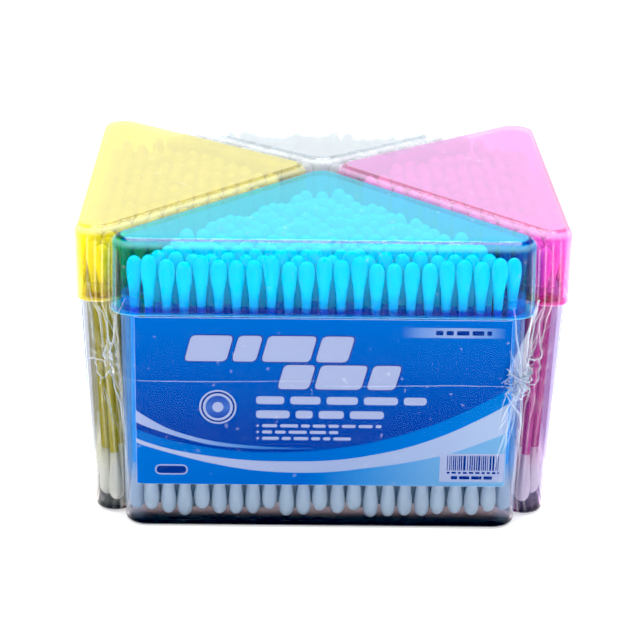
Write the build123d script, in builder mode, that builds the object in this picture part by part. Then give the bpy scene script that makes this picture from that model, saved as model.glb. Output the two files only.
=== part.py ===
from build123d import *
import math
import os
import random

# Four triangular cotton swab boxes stood together as a square pack, held by one skin of shrink film.
# Millimetres. +Z up, -Y is the front of the pack, +X is to the right. The origin is the middle of
# the pack's footprint, on the surface that it stands on.
#
# Each box is drawn in its own seat: x along its long outer side, y from that side in towards the
# middle of the pack, z up its own height. The seat leans, because the film draws the four boxes
# together at the foot, where the trays are narrower than the lids.

# ---- the pack
SEAT_OUT = 64.0          # pack centre to each box's outer side, at the foot
SEAT_LIFT = 0.08         # keeps the trays' outer feet just clear of the film's floor
LEAN = 2.385             # degrees that each box leans outward at the top

# ---- one box (an isosceles right triangle in plan)
HALF_SPAN = 65.4         # half of the long side of the lid's top, measured to the sharp corner
BOX_HEIGHT = 84.0        # tray foot to lid top
SHOULDER_Z = 63.2        # where the lid's rim stands on the tray
ROOT2 = math.sqrt(2.0)

# ---- tray: a clear drafted bin with a step-in neck
TRAY_FOOT_INSET = 1.1
TRAY_SHOULDER_INSET = 0.6
TRAY_FOOT_RADIUS = 6.2
TRAY_NECK_INSET = 1.15
TRAY_NECK_RADIUS = 6.0
TRAY_NECK_Z = 67.2
TRAY_FLOOR = 1.6
TRAY_INNER_INSET = 2.0
TRAY_INNER_RADIUS = 5.2
TRAY_FOOT_ROUND = 1.2

# ---- lid: a push-on tinted cap
LID_FLARE = 0.6          # the rim stands out this far beyond the top
LID_RIM_RADIUS = 6.9
LID_TOP_ROUND = 3.0
LID_ROOF = 1.3
LID_INNER_RIM_INSET = 1.0
LID_INNER_TOP_INSET = 1.3
LID_INNER_RADIUS = 6.0
LID_INNER_ROUND = 1.8

# ---- label: a thin printed sticker on the tray's outer wall
LABEL_THICK = 0.12
LABEL_HALF = 50.4
LABEL_LOW = 13.0
LABEL_HIGH = 62.4

# ---- swabs
SWAB_LENGTH = 75.0
SWAB_PITCH = 4.66
SWAB_ROW = SWAB_PITCH * math.sqrt(3.0) / 2.0
STICK_RADIUS = 1.15
TIP_RADIUS = 2.1
TIP_LENGTH = 14.5
TIP_CAP = 2.0            # cotton beyond the stick's end
SWAB_INSET = 4.45        # lid plan to the middle of the outermost swabs
SWAB_NOSE = (50.72, 7.25)   # the second row's end swabs are pushed out into the box's sharp corners
SWAB_DRIFT = 0.09        # sideways drift of a swab's middle
SWAB_TILT = 0.12         # degrees
SWAB_RISE = 2.1          # the most that a swab beside the long wall stands clear of the floor
SWAB_HEAP = 2.4          # the bundle stands this much prouder away from the long wall
SWAB_HEAP_RUN = 20.0     # and reaches that height this far in

# ---- film
FILM_THICK = 0.12
FILM_EASE = 0.10         # film's inner face to the lids' and trays' outer faces
FILM_TOP_EASE = 0.32

SIDES = [("front", 0.0, 11), ("right", 90.0, 23), ("back", 180.0, 37), ("left", 270.0, 53)]

os.makedirs("parts", exist_ok=True)


def seat_location(turn):
    """Where a box's own frame stands in the pack."""
    return (
        Location((0, 0, 0), (0, 0, turn))
        * Location((0, -SEAT_OUT, SEAT_LIFT))
        * Location((0, 0, 0), (LEAN, 0, 0))
    )


def corners(inset):
    """Sharp corners of the box's plan, moved in by inset on every side."""
    half = HALF_SPAN - inset * (1.0 + ROOT2)
    return [(-half, inset), (half, inset), (0.0, inset + half)]


def swab_spots(seed):
    """Close-packed swab positions inside one tray, with small natural shifts: x, y, z and two tilts."""
    rng = random.Random(seed)
    half = HALF_SPAN - SWAB_INSET * (1.0 + ROOT2)
    # middle of the tray's rounded acute corner, and how far from it a swab's middle may stand
    corner_x = HALF_SPAN - TRAY_INNER_INSET * (1.0 + ROOT2) - TRAY_INNER_RADIUS * (1.0 + ROOT2)
    corner_y = TRAY_INNER_INSET + TRAY_INNER_RADIUS
    reach = TRAY_INNER_RADIUS - (SWAB_INSET - TRAY_INNER_INSET)
    tip_y = TRAY_INNER_INSET + (half + (SWAB_INSET - TRAY_INNER_INSET) * (1 + ROOT2)) - TRAY_INNER_RADIUS * ROOT2
    spots = []
    row = 0
    while True:
        y = SWAB_INSET + row * SWAB_ROW
        wide = half - (y - SWAB_INSET)
        if wide < 0:
            break
        count = int(math.floor(2 * wide / SWAB_PITCH)) + 1
        if (count % 2) != (1 if row % 2 == 0 else 0):
            count -= 1
        for i in range(count):
            x = (i - (count - 1) / 2.0) * SWAB_PITCH
            if abs(x) > corner_x and math.hypot(abs(x) - corner_x, y - corner_y) > reach:
                continue
            if y > tip_y and math.hypot(x, y - tip_y) > reach:
                continue
            dx = rng.uniform(-SWAB_DRIFT, SWAB_DRIFT)
            dy = rng.uniform(-SWAB_DRIFT, SWAB_DRIFT)
            pushed = row == 1 and abs(x) > SWAB_NOSE[0] - SWAB_PITCH
            across, inward = (math.copysign(SWAB_NOSE[0], x), SWAB_NOSE[1]) if pushed else (x + dx * 0.7, y + dy * 0.7)
            rise = SWAB_RISE * rng.random() ** 1.6 + SWAB_HEAP * min(1.0, (y - SWAB_INSET) / SWAB_HEAP_RUN)
            spots.append(
                (
                    across,
                    inward,
                    TRAY_FLOOR + 0.15 + rise,
                    rng.uniform(-SWAB_TILT, SWAB_TILT),
                    rng.uniform(-SWAB_TILT, SWAB_TILT),
                )
            )
        row += 1
    return spots


# ---- one cotton tip, standing on its blunt end, bored for the stick; soft wound cotton kept as a plain turned form
with BuildPart() as cotton_tip:
    with BuildSketch(Plane.XZ) as tip_section:
        with BuildLine() as tip_outline:
            dome = Polyline((0, 0), (1.35, 0.45), (TIP_RADIUS, 2.4))
            belly = Line(dome @ 1, (TIP_RADIUS - 0.12, 6.2))
            taper = Line(belly @ 1, (STICK_RADIUS + 0.16, TIP_LENGTH))
            lip = Line(taper @ 1, (STICK_RADIUS, TIP_LENGTH))
            bore = Line(lip @ 1, (STICK_RADIUS, TIP_CAP))
            seat_end = Line(bore @ 1, (0, TIP_CAP))
            Line(seat_end @ 1, (0, 0))
        make_face()
    revolve(axis=Axis.Z)

for side, turn, seed in SIDES:
    place = seat_location(turn)
    seat = Plane(place)
    up = Axis(seat.origin, seat.z_dir)

    # ---- tray
    with BuildPart() as tray:
        draft = math.degrees(math.atan((TRAY_FOOT_INSET - TRAY_SHOULDER_INSET) / SHOULDER_Z))
        with BuildSketch(seat) as foot:
            Polygon(*corners(TRAY_FOOT_INSET), align=None)
            fillet(foot.vertices(), TRAY_FOOT_RADIUS)
        extrude(amount=SHOULDER_Z, taper=-draft)
        fillet(tray.faces().sort_by(up)[0].edges(), TRAY_FOOT_ROUND)
        with BuildSketch(seat.offset(SHOULDER_Z - 0.5)) as neck:
            Polygon(*corners(TRAY_NECK_INSET), align=None)
            fillet(neck.vertices(), TRAY_NECK_RADIUS)
        extrude(amount=TRAY_NECK_Z - SHOULDER_Z + 0.5)
        with BuildSketch(seat.offset(TRAY_FLOOR)) as bin_plan:
            Polygon(*corners(TRAY_INNER_INSET), align=None)
            fillet(bin_plan.vertices(), TRAY_INNER_RADIUS)
        extrude(amount=TRAY_NECK_Z, mode=Mode.SUBTRACT)
    tray.part.label = side + "_tray"
    export_step(tray.part, "parts/" + side + "_tray.step")

    # ---- lid
    with BuildPart() as lid:
        lean_in = math.degrees(math.atan(LID_FLARE / (BOX_HEIGHT - SHOULDER_Z)))
        with BuildSketch(seat.offset(SHOULDER_Z)) as rim:
            Polygon(*corners(-LID_FLARE), align=None)
            fillet(rim.vertices(), LID_RIM_RADIUS)
        extrude(amount=BOX_HEIGHT - SHOULDER_Z, taper=lean_in)
        fillet(lid.faces().sort_by(up)[-1].edges(), LID_TOP_ROUND)
        deep = BOX_HEIGHT - LID_ROOF - SHOULDER_Z
        inner_draft = math.degrees(math.atan((LID_INNER_TOP_INSET - LID_INNER_RIM_INSET) / deep))
        with BuildSketch(seat.offset(SHOULDER_Z)) as mouth:
            Polygon(*corners(LID_INNER_RIM_INSET), align=None)
            fillet(mouth.vertices(), LID_INNER_RADIUS)
        extrude(amount=deep, taper=inner_draft, mode=Mode.SUBTRACT)
        ceiling = lid.faces().filter_by(lambda f: abs((f.center() - seat.origin).dot(seat.z_dir) - (BOX_HEIGHT - LID_ROOF)) < 0.05)
        fillet(ceiling.edges(), LID_INNER_ROUND)
    lid.part.label = side + "_lid"
    export_step(lid.part, "parts/" + side + "_lid.step")

    # ---- label, wrapped on the tray's long outer wall and a little round its corners
    with BuildPart() as label:
        with BuildSketch(seat) as skin:
            Polygon(*corners(TRAY_FOOT_INSET - LABEL_THICK), align=None)
            fillet(skin.vertices(), TRAY_FOOT_RADIUS + LABEL_THICK)
        extrude(amount=SHOULDER_Z, taper=-draft)
        with BuildSketch(seat) as wall:
            Polygon(*corners(TRAY_FOOT_INSET), align=None)
            fillet(wall.vertices(), TRAY_FOOT_RADIUS)
        extrude(amount=SHOULDER_Z, taper=-draft, mode=Mode.SUBTRACT)
        with BuildSketch(seat.offset(LABEL_LOW)) as sheet:
            Polygon((-LABEL_HALF, -2), (LABEL_HALF, -2), (LABEL_HALF, 5), (-LABEL_HALF, 5), align=None)
        extrude(amount=LABEL_HIGH - LABEL_LOW, mode=Mode.INTERSECT)
    label.part.label = side + "_label"
    export_step(label.part, "parts/" + side + "_label.step")

    # ---- swabs: sticks, upper tips and lower tips stand in three groups
    stick_spots, low_spots, high_spots = [], [], []
    for x, y, z, tilt_x, tilt_y in swab_spots(seed):
        middle = place * Location((x, y, z + SWAB_LENGTH / 2.0), (tilt_x, tilt_y, 0))
        stick_spots.append(middle)
        low_spots.append(middle * Location((0, 0, -SWAB_LENGTH / 2.0)))
        high_spots.append(middle * Location((0, 0, SWAB_LENGTH / 2.0), (180, 0, 0)))

    with BuildPart() as sticks:
        with Locations(*stick_spots):
            Cylinder(STICK_RADIUS, SWAB_LENGTH - 2.0 * TIP_CAP)
    sticks.part.label = side + "_swab_sticks"
    export_step(sticks.part, "parts/" + side + "_swab_sticks.step")

    with BuildPart() as low_tips:
        with Locations(*low_spots):
            add(cotton_tip.part)
    low_tips.part.label = side + "_lower_tips"
    export_step(low_tips.part, "parts/" + side + "_lower_tips.step")

    with BuildPart() as high_tips:
        with Locations(*high_spots):
            add(cotton_tip.part)
    high_tips.part.label = side + "_upper_tips"
    export_step(high_tips.part, "parts/" + side + "_upper_tips.step")
    print(side, "swabs", len(stick_spots), "solids", len(sticks.part.solids()), len(low_tips.part.solids()), len(high_tips.part.solids()))


# ---- shrink film: a closed skin, flat underneath, straight from the foot to the lids' rims,
# up the lids, rounded over their top edges, and rising gently to the middle.
COS, SIN = math.cos(math.radians(LEAN)), math.sin(math.radians(LEAN))


def world(y, z):
    """Distance out from the pack's centre, and height, of a point of a box's section."""
    return SEAT_OUT - (y * COS - z * SIN), y * SIN + z * COS + SEAT_LIFT


def film_levels(gap, top_gap, floor):
    """Each level: height, distance out to the film's long side, corner radius, corner middle along the side."""
    levels = []
    corner_foot = HALF_SPAN - (TRAY_FOOT_INSET + TRAY_FOOT_RADIUS) * (1.0 + ROOT2)
    corner_lid = HALF_SPAN + LID_FLARE * (1.0 + ROOT2) - LID_RIM_RADIUS * (1.0 + ROOT2)
    out, _ = world(TRAY_FOOT_INSET, 1.2)
    levels.append((floor, out + gap, TRAY_FOOT_RADIUS + gap, corner_foot))
    out, high = world(-LID_FLARE, SHOULDER_Z)
    levels.append((high, out + gap, LID_RIM_RADIUS + gap, corner_lid))
    mid_out, mid_high = world(LID_TOP_ROUND, BOX_HEIGHT - LID_TOP_ROUND)
    reach = (LID_TOP_ROUND + gap) / math.cos(math.radians(14.6))
    for angle in (14.6, 43.8, 73.0):
        out = mid_out + reach * math.cos(math.radians(angle))
        high = mid_high + reach * math.sin(math.radians(angle)) + (top_gap - gap) * angle / 73.0
        levels.append((high, out, out - (mid_out - 3.3), corner_lid))
    rim_out, rim_high = levels[-1][1], levels[-1][0]
    levels.append((rim_high + (rim_out - 3.0) * math.tan(math.radians(LEAN)), 3.0, 1.0, 1.2))
    return levels


with BuildPart() as film:
    for z, out, radius, along in film_levels(FILM_EASE + FILM_THICK, FILM_TOP_EASE + FILM_THICK, 0.0):
        with BuildSketch(Plane.XY.offset(z)) as level:
            a, b = along, out - radius
            Polygon((a, -b), (b, -a), (b, a), (a, b), (-a, b), (-b, a), (-b, -a), (-a, -b), align=None)
            offset(amount=radius)
    loft(ruled=True)
    for z, out, radius, along in film_levels(FILM_EASE, FILM_TOP_EASE, FILM_THICK):
        with BuildSketch(Plane.XY.offset(z)) as level:
            a, b = along, out - radius
            Polygon((a, -b), (b, -a), (b, a), (a, b), (-a, b), (-b, a), (-b, -a), (-a, -b), align=None)
            offset(amount=radius)
    loft(ruled=True, mode=Mode.SUBTRACT)
film.part.label = "shrink_film"
export_step(film.part, "parts/shrink_film.step")
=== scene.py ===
import math
import random

import bpy
import numpy as np
from mathutils import Matrix, Vector
from mathutils.geometry import tessellate_polygon


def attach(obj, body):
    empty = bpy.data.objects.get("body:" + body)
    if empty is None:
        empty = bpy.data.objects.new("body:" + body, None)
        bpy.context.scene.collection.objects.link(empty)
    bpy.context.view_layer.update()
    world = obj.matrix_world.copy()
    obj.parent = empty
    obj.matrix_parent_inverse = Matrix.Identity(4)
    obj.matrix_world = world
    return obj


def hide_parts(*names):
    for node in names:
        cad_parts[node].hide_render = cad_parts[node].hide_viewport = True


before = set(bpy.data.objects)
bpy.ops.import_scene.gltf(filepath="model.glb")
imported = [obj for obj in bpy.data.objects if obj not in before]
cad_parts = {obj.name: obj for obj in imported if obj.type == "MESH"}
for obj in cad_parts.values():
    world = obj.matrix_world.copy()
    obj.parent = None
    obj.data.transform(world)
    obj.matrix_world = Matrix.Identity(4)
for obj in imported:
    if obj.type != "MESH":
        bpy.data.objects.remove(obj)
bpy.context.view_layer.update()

MM = 0.001
ROOT2 = math.sqrt(2.0)

# ------------------------------------------------------------------ the pack's own sizes, in millimetres
SEAT_OUT, SEAT_LIFT, LEAN = 64.0, 0.08, 2.385
HALF_SPAN, BOX_HEIGHT, SHOULDER_Z = 65.4, 84.0, 63.2
FOOT_INSET, SHOULDER_INSET, FOOT_RADIUS = 1.1, 0.6, 6.2
INNER_INSET, INNER_RADIUS, FLOOR_THICK = 2.0, 5.2, 1.6
LID_FLARE, RIM_RADIUS, TOP_ROUND = 0.6, 6.9, 3.0
LABEL_THICK, LABEL_HALF, LABEL_LOW, LABEL_HIGH = 0.12, 50.4, 13.0, 62.4
SWAB_LENGTH, SWAB_PITCH, STICK_RADIUS = 75.0, 4.66, 1.15
SWAB_ROW = SWAB_PITCH * math.sqrt(3.0) / 2.0
SWAB_INSET, SWAB_DRIFT, SWAB_TILT, SWAB_RISE = 4.45, 0.09, 0.12, 2.1
SWAB_HEAP, SWAB_HEAP_RUN = 2.4, 20.0
SWAB_NOSE = (50.72, 7.25)
SIDES = [("front", 0.0, 11), ("right", 90.0, 23), ("back", 180.0, 37), ("left", 270.0, 53)]
COS, SIN = math.cos(math.radians(LEAN)), math.sin(math.radians(LEAN))


def seat_matrix(turn):
    return (
        Matrix.Rotation(math.radians(turn), 4, "Z")
        @ Matrix.Translation((0, -SEAT_OUT, SEAT_LIFT))
        @ Matrix.Rotation(math.radians(LEAN), 4, "X")
    )


def swab_spots(seed):
    rng = random.Random(seed)
    half = HALF_SPAN - SWAB_INSET * (1.0 + ROOT2)
    corner_x = HALF_SPAN - INNER_INSET * (1.0 + ROOT2) - INNER_RADIUS * (1.0 + ROOT2)
    corner_y = INNER_INSET + INNER_RADIUS
    reach = INNER_RADIUS - (SWAB_INSET - INNER_INSET)
    tip_y = INNER_INSET + (half + (SWAB_INSET - INNER_INSET) * (1 + ROOT2)) - INNER_RADIUS * ROOT2
    spots = []
    row = 0
    while True:
        y = SWAB_INSET + row * SWAB_ROW
        wide = half - (y - SWAB_INSET)
        if wide < 0:
            break
        count = int(math.floor(2 * wide / SWAB_PITCH)) + 1
        if (count % 2) != (1 if row % 2 == 0 else 0):
            count -= 1
        for i in range(count):
            x = (i - (count - 1) / 2.0) * SWAB_PITCH
            if abs(x) > corner_x and math.hypot(abs(x) - corner_x, y - corner_y) > reach:
                continue
            if y > tip_y and math.hypot(x, y - tip_y) > reach:
                continue
            dx = rng.uniform(-SWAB_DRIFT, SWAB_DRIFT)
            dy = rng.uniform(-SWAB_DRIFT, SWAB_DRIFT)
            pushed = row == 1 and abs(x) > SWAB_NOSE[0] - SWAB_PITCH
            across, inward = (math.copysign(SWAB_NOSE[0], x), SWAB_NOSE[1]) if pushed else (x + dx * 0.7, y + dy * 0.7)
            rise = SWAB_RISE * rng.random() ** 1.6 + SWAB_HEAP * min(1.0, (y - SWAB_INSET) / SWAB_HEAP_RUN)
            spots.append((across, inward, FLOOR_THICK + 0.15 + rise, rng.uniform(-SWAB_TILT, SWAB_TILT), rng.uniform(-SWAB_TILT, SWAB_TILT)))
        row += 1
    return spots


# ------------------------------------------------------------------ mesh help
def new_piece(name, verts, faces, materials, slot=None, smooth=True, indices=None, scale=MM):
    mesh = bpy.data.meshes.new(name)
    mesh.from_pydata([tuple(float(c) * scale for c in v) for v in verts], [], [tuple(int(i) for i in f) for f in faces])
    for m in materials:
        mesh.materials.append(m)
    if indices is not None:
        mesh.polygons.foreach_set("material_index", np.array(indices, np.int32))
    mesh.polygons.foreach_set("use_smooth", np.full(len(mesh.polygons), bool(smooth)))
    mesh.validate()
    mesh.update()
    obj = bpy.data.objects.new(name, mesh)
    bpy.context.scene.collection.objects.link(obj)
    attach(obj, "root")
    return obj


def add_float(obj, name, values):
    at = obj.data.attributes.new(name, "FLOAT", "POINT")
    at.data.foreach_set("value", np.array(values, np.float32))


# ------------------------------------------------------------------ materials
def fresh(name):
    m = bpy.data.materials.new(name)
    m.use_nodes = True
    t = m.node_tree
    t.nodes.clear()
    out = t.nodes.new("ShaderNodeOutputMaterial")
    return m, t, out


def math_node(t, op, a, b=None):
    n = t.nodes.new("ShaderNodeMath")
    n.operation = op
    for i, v in enumerate((a, b)):
        if v is None:
            continue
        if isinstance(v, (int, float)):
            n.inputs[i].default_value = v
        else:
            t.links.new(v, n.inputs[i])
    return n.outputs[0]


def ramp(t, fac, stops, interpolation="LINEAR"):
    n = t.nodes.new("ShaderNodeValToRGB")
    n.color_ramp.interpolation = interpolation
    e = n.color_ramp.elements
    e[0].position, e[0].color = stops[0][0], (*stops[0][1], 1)
    e[1].position, e[1].color = stops[-1][0], (*stops[-1][1], 1)
    for p, c in stops[1:-1]:
        x = e.new(p)
        x.color = (*c, 1)
    t.links.new(fac, n.inputs[0])
    return n.outputs[0]


def noise(t, scale, detail=3.0, rough=0.5, stretch=None):
    c = t.nodes.new("ShaderNodeTexCoord")
    n = t.nodes.new("ShaderNodeTexNoise")
    n.inputs["Scale"].default_value = scale
    n.inputs["Detail"].default_value = detail
    n.inputs["Roughness"].default_value = rough
    if stretch:
        mp = t.nodes.new("ShaderNodeMapping")
        mp.inputs["Scale"].default_value = stretch
        t.links.new(c.outputs["Object"], mp.inputs["Vector"])
        t.links.new(mp.outputs[0], n.inputs["Vector"])
    else:
        t.links.new(c.outputs["Object"], n.inputs["Vector"])
    return n.outputs["Fac"]


def bump(t, height, strength, distance):
    b = t.nodes.new("ShaderNodeBump")
    b.inputs["Strength"].default_value = strength
    b.inputs["Distance"].default_value = distance
    t.links.new(height, b.inputs["Height"])
    return b.outputs[0]


def local_axis(t, turn, axis):
    """Where a point stands along one of a box's own axes, in millimetres."""
    seat = seat_matrix(turn)
    direction = (seat.to_3x3() @ Vector(axis)).normalized()
    g = t.nodes.new("ShaderNodeNewGeometry")
    d = t.nodes.new("ShaderNodeVectorMath")
    d.operation = "DOT_PRODUCT"
    d.inputs[1].default_value = direction
    t.links.new(g.outputs["Position"], d.inputs[0])
    start = seat.translation.dot(direction) * MM
    return math_node(t, "MULTIPLY", math_node(t, "SUBTRACT", d.outputs["Value"], start), 1000.0)


def span_of(t, value, low, high):
    n = t.nodes.new("ShaderNodeMapRange")
    n.inputs["From Min"].default_value = low
    n.inputs["From Max"].default_value = high
    t.links.new(value, n.inputs["Value"])
    return n.outputs[0]


def tinted(t, colour, factor, other):
    n = t.nodes.new("ShaderNodeMix")
    n.data_type = "RGBA"
    n.inputs["B"].default_value = (*other, 1)
    t.links.new(colour, n.inputs["A"])
    t.links.new(factor, n.inputs["Factor"])
    return n.outputs["Result"]


def clear_plastic(name, tint, deep, base=0.015, reflect=0.9, climb=4.5, rough=0.05, inner=0.5, power=2.2, bumps=None, foot=None, veil=0.0, painted_sheen_attribute=None, box=None, specks=0.0, painted_corner_glow=None, painted_sheen_colour=None):
    """Thin clear plastic: what is behind shows through the tint, deeper where the wall is seen edge-on, under a gloss
    that rises with slant.
    box: (turn, crease tint, nose tint, rim tint, painted glow colour, painted top veil colour, painted top veil amount)
    deepens a lid along its top crease, at its sharp corners and along its rim, and paints highlights on its shoulder
    and lip and a reflection veil on its top."""
    m, t, out = fresh(name)
    lw = t.nodes.new("ShaderNodeLayerWeight")
    lw.inputs["Blend"].default_value = 0.5
    face = lw.outputs["Facing"]
    edge = math_node(t, "POWER", face, power)
    mix = t.nodes.new("ShaderNodeMix")
    mix.data_type = "RGBA"
    mix.inputs["A"].default_value = (*tint, 1)
    mix.inputs["B"].default_value = (*deep, 1)
    t.links.new(edge, mix.inputs["Factor"])
    colour = mix.outputs["Result"]
    pale = None
    if box:
        turn, crease, nose, rim, painted_glow, over, painted_top_veil = box
        up = local_axis(t, turn, (0, 0, 1))
        along = math_node(t, "ABSOLUTE", local_axis(t, turn, (1, 0, 0)))
        # sharp corners: more plastic on the line of sight
        corner = math_node(t, "MULTIPLY", span_of(t, along, 47.0, 57.0), span_of(t, up, 83.2, 81.5))
        colour = tinted(t, colour, corner, nose)
        line = math_node(t, "MULTIPLY", span_of(t, up, 83.45, 83.7), span_of(t, up, 83.98, 83.93))
        colour = tinted(t, colour, line, crease)
        lip = math_node(t, "MULTIPLY", span_of(t, up, 63.5, 63.8), span_of(t, up, 65.6, 64.9))
        colour = tinted(t, colour, lip, rim)
        # painted highlights: a pale diffuse strip on the rounded shoulder under the top crease, and a pale line at the
        # very lip
        strip = math_node(t, "MULTIPLY", span_of(t, up, 81.4, 82.5), span_of(t, up, 83.45, 83.2))
        glint = math_node(t, "MULTIPLY", span_of(t, up, 63.5, 63.3), span_of(t, up, 62.9, 63.1))
        pale = math_node(t, "MAXIMUM", math_node(t, "MULTIPLY", strip, 0.20), math_node(t, "MULTIPLY", glint, 0.30))
        # painted reflection: the flat top gets a diffuse veil in its own colour, standing in for the bright
        # surroundings it reflects
        crown = span_of(t, up, 83.93, 83.98)
        pale = math_node(t, "MAXIMUM", pale, math_node(t, "MULTIPLY", crown, painted_top_veil))
    if foot:
        # painted shade: the tray's foot is darker than its walls, with two darker lines where its rounds gather and a
        # paler band between, standing in for how its thick rounded edges bend the light
        g = t.nodes.new("ShaderNodeNewGeometry")
        s = t.nodes.new("ShaderNodeSeparateXYZ")
        t.links.new(g.outputs["Position"], s.inputs[0])
        high = span_of(t, s.outputs["Z"], 0.0, 0.003)
        dark = tuple(c * 0.22 for c in foot)
        band = tuple(min(1.0, c * 1.5) for c in foot)
        bottom = ramp(t, high, [(0.0, dark), (0.13, dark), (0.18, band), (0.33, band), (0.38, tuple(c * k for c, k in zip(foot, (0.34, 0.18, 0.24)))), (0.50, tuple(c * k for c, k in zip(foot, (0.34, 0.18, 0.24)))), (0.55, foot), (0.64, foot), (0.76, (1, 1, 1))])
        n = t.nodes.new("ShaderNodeMix")
        n.data_type = "RGBA"
        n.blend_type = "MULTIPLY"
        n.inputs["Factor"].default_value = 1.0
        t.links.new(colour, n.inputs["A"])
        t.links.new(bottom, n.inputs["B"])
        colour = n.outputs["Result"]
    tr = t.nodes.new("ShaderNodeBsdfTransparent")
    t.links.new(colour, tr.inputs[0])
    gl = t.nodes.new("ShaderNodeBsdfGlossy")
    gl.inputs["Color"].default_value = (1, 1, 1, 1)
    gl.inputs["Roughness"].default_value = rough
    if bumps:
        t.links.new(bump(t, noise(t, bumps[0], 2.0, 0.5, bumps[3] if len(bumps) > 3 else None), bumps[1], bumps[2]), gl.inputs["Normal"])
    schlick = math_node(t, "ADD", math_node(t, "MULTIPLY", math_node(t, "POWER", face, climb), reflect), base)
    g = t.nodes.new("ShaderNodeNewGeometry")
    # the inner face of a wall gives back less than its outer face
    inside = math_node(t, "SUBTRACT", 1.0, math_node(t, "MULTIPLY", g.outputs["Backfacing"], 1.0 - inner))
    fac = math_node(t, "MULTIPLY", schlick, inside)
    sh = t.nodes.new("ShaderNodeMixShader")
    t.links.new(fac, sh.inputs[0])
    t.links.new(tr.outputs[0], sh.inputs[1])
    t.links.new(gl.outputs[0], sh.inputs[2])
    last = sh.outputs[0]
    shade = None
    if painted_corner_glow:
        # painted light: a diffuse layer in the colours of the swabs behind, strongest at a tray's rounded corners and
        # fading out at the foot, stands in for the light those corners gather as lenses
        turn, high_colour, low_colour, strength = painted_corner_glow
        corner = span_of(t, math_node(t, "ABSOLUTE", local_axis(t, turn, (1, 0, 0))), 47.6, 50.5)
        up = local_axis(t, turn, (0, 0, 1))
        shade = ramp(t, span_of(t, up, 0.0, 84.0), [(0.0, low_colour), (0.15, low_colour), (0.22, high_colour), (1.0, high_colour)])
        pale = math_node(t, "MULTIPLY", math_node(t, "MULTIPLY", corner, strength), span_of(t, up, 1.5, 6.0))
    if veil or pale is not None or painted_sheen_attribute:
        df = t.nodes.new("ShaderNodeBsdfDiffuse")
        df.inputs[0].default_value = (*(box[4] if box else (0.95, 0.97, 1.0)), 1)
        if shade is not None:
            t.links.new(shade, df.inputs[0])
        if box:
            two = t.nodes.new("ShaderNodeMix")
            two.data_type = "RGBA"
            two.inputs["A"].default_value = (*painted_glow, 1)
            two.inputs["B"].default_value = (*over, 1)
            t.links.new(crown, two.inputs["Factor"])
            t.links.new(two.outputs["Result"], df.inputs[0])
        # the pleats' diffuse colour, a painted sheen
        if painted_sheen_colour:
            df.inputs[0].default_value = (*painted_sheen_colour, 1)
        vs = t.nodes.new("ShaderNodeMixShader")
        amount = pale
        if specks:
            dots = t.nodes.new("ShaderNodeMapRange")
            dots.inputs["From Min"].default_value = 0.715
            dots.inputs["From Max"].default_value = 0.76
            dots.inputs["To Max"].default_value = specks
            t.links.new(noise(t, 520.0, 1.0), dots.inputs["Value"])
            amount = dots.outputs[0] if amount is None else math_node(t, "MAXIMUM", amount, dots.outputs[0])
        if veil:
            cloud = t.nodes.new("ShaderNodeMapRange")
            cloud.inputs["From Min"].default_value = 0.35
            cloud.inputs["From Max"].default_value = 0.75
            cloud.inputs["To Min"].default_value = 0.0
            cloud.inputs["To Max"].default_value = veil
            t.links.new(noise(t, 35.0, 3.0), cloud.inputs["Value"])
            amount = cloud.outputs[0] if amount is None else math_node(t, "MAXIMUM", amount, cloud.outputs[0])
        # painted sheen, its amount read from a mesh attribute
        if painted_sheen_attribute:
            at = t.nodes.new("ShaderNodeAttribute")
            at.attribute_name = painted_sheen_attribute
            amount = at.outputs["Fac"] if amount is None else math_node(t, "ADD", amount, at.outputs["Fac"])
        t.links.new(amount, vs.inputs[0])
        t.links.new(last, vs.inputs[1])
        t.links.new(df.outputs[0], vs.inputs[2])
        last = vs.outputs[0]
    t.links.new(last, out.inputs["Surface"])
    return m


def solid(name, colour, rough=0.5, spec=0.5, variation=0.06, scale=400.0, bump_args=None, sheen=0.0, through=0.0, painted_glow=0.0):
    m, t, out = fresh(name)
    p = t.nodes.new("ShaderNodeBsdfPrincipled")
    n = noise(t, scale, 3.0)
    low = tuple(max(0.0, c * (1 - variation)) for c in colour)
    high = tuple(min(1.0, c * (1 + variation * 0.6)) for c in colour)
    t.links.new(ramp(t, n, [(0.3, low), (0.7, high)]), p.inputs["Base Color"])
    p.inputs["Roughness"].default_value = rough
    p.inputs["Specular IOR Level"].default_value = spec
    # painted glow: the surface emits its own colour, so it reads lit where the scene's light would leave it dim
    if painted_glow:
        p.inputs["Emission Color"].default_value = (*colour, 1)
        p.inputs["Emission Strength"].default_value = painted_glow
    if sheen:
        p.inputs["Sheen Weight"].default_value = sheen
        p.inputs["Sheen Roughness"].default_value = 0.5
    if bump_args:
        t.links.new(bump(t, noise(t, bump_args[0], 4.0, 0.6), bump_args[1], bump_args[2]), p.inputs["Normal"])
    last = p.outputs[0]
    if through:
        # light passes part way through thin plastic tubes and loose cotton
        tl = t.nodes.new("ShaderNodeBsdfTranslucent")
        tl.inputs[0].default_value = (*high, 1)
        ms = t.nodes.new("ShaderNodeMixShader")
        ms.inputs[0].default_value = through
        t.links.new(last, ms.inputs[1])
        t.links.new(tl.outputs[0], ms.inputs[2])
        last = ms.outputs[0]
    t.links.new(last, out.inputs["Surface"])
    return m


INK_LEVEL = 0.56


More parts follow.
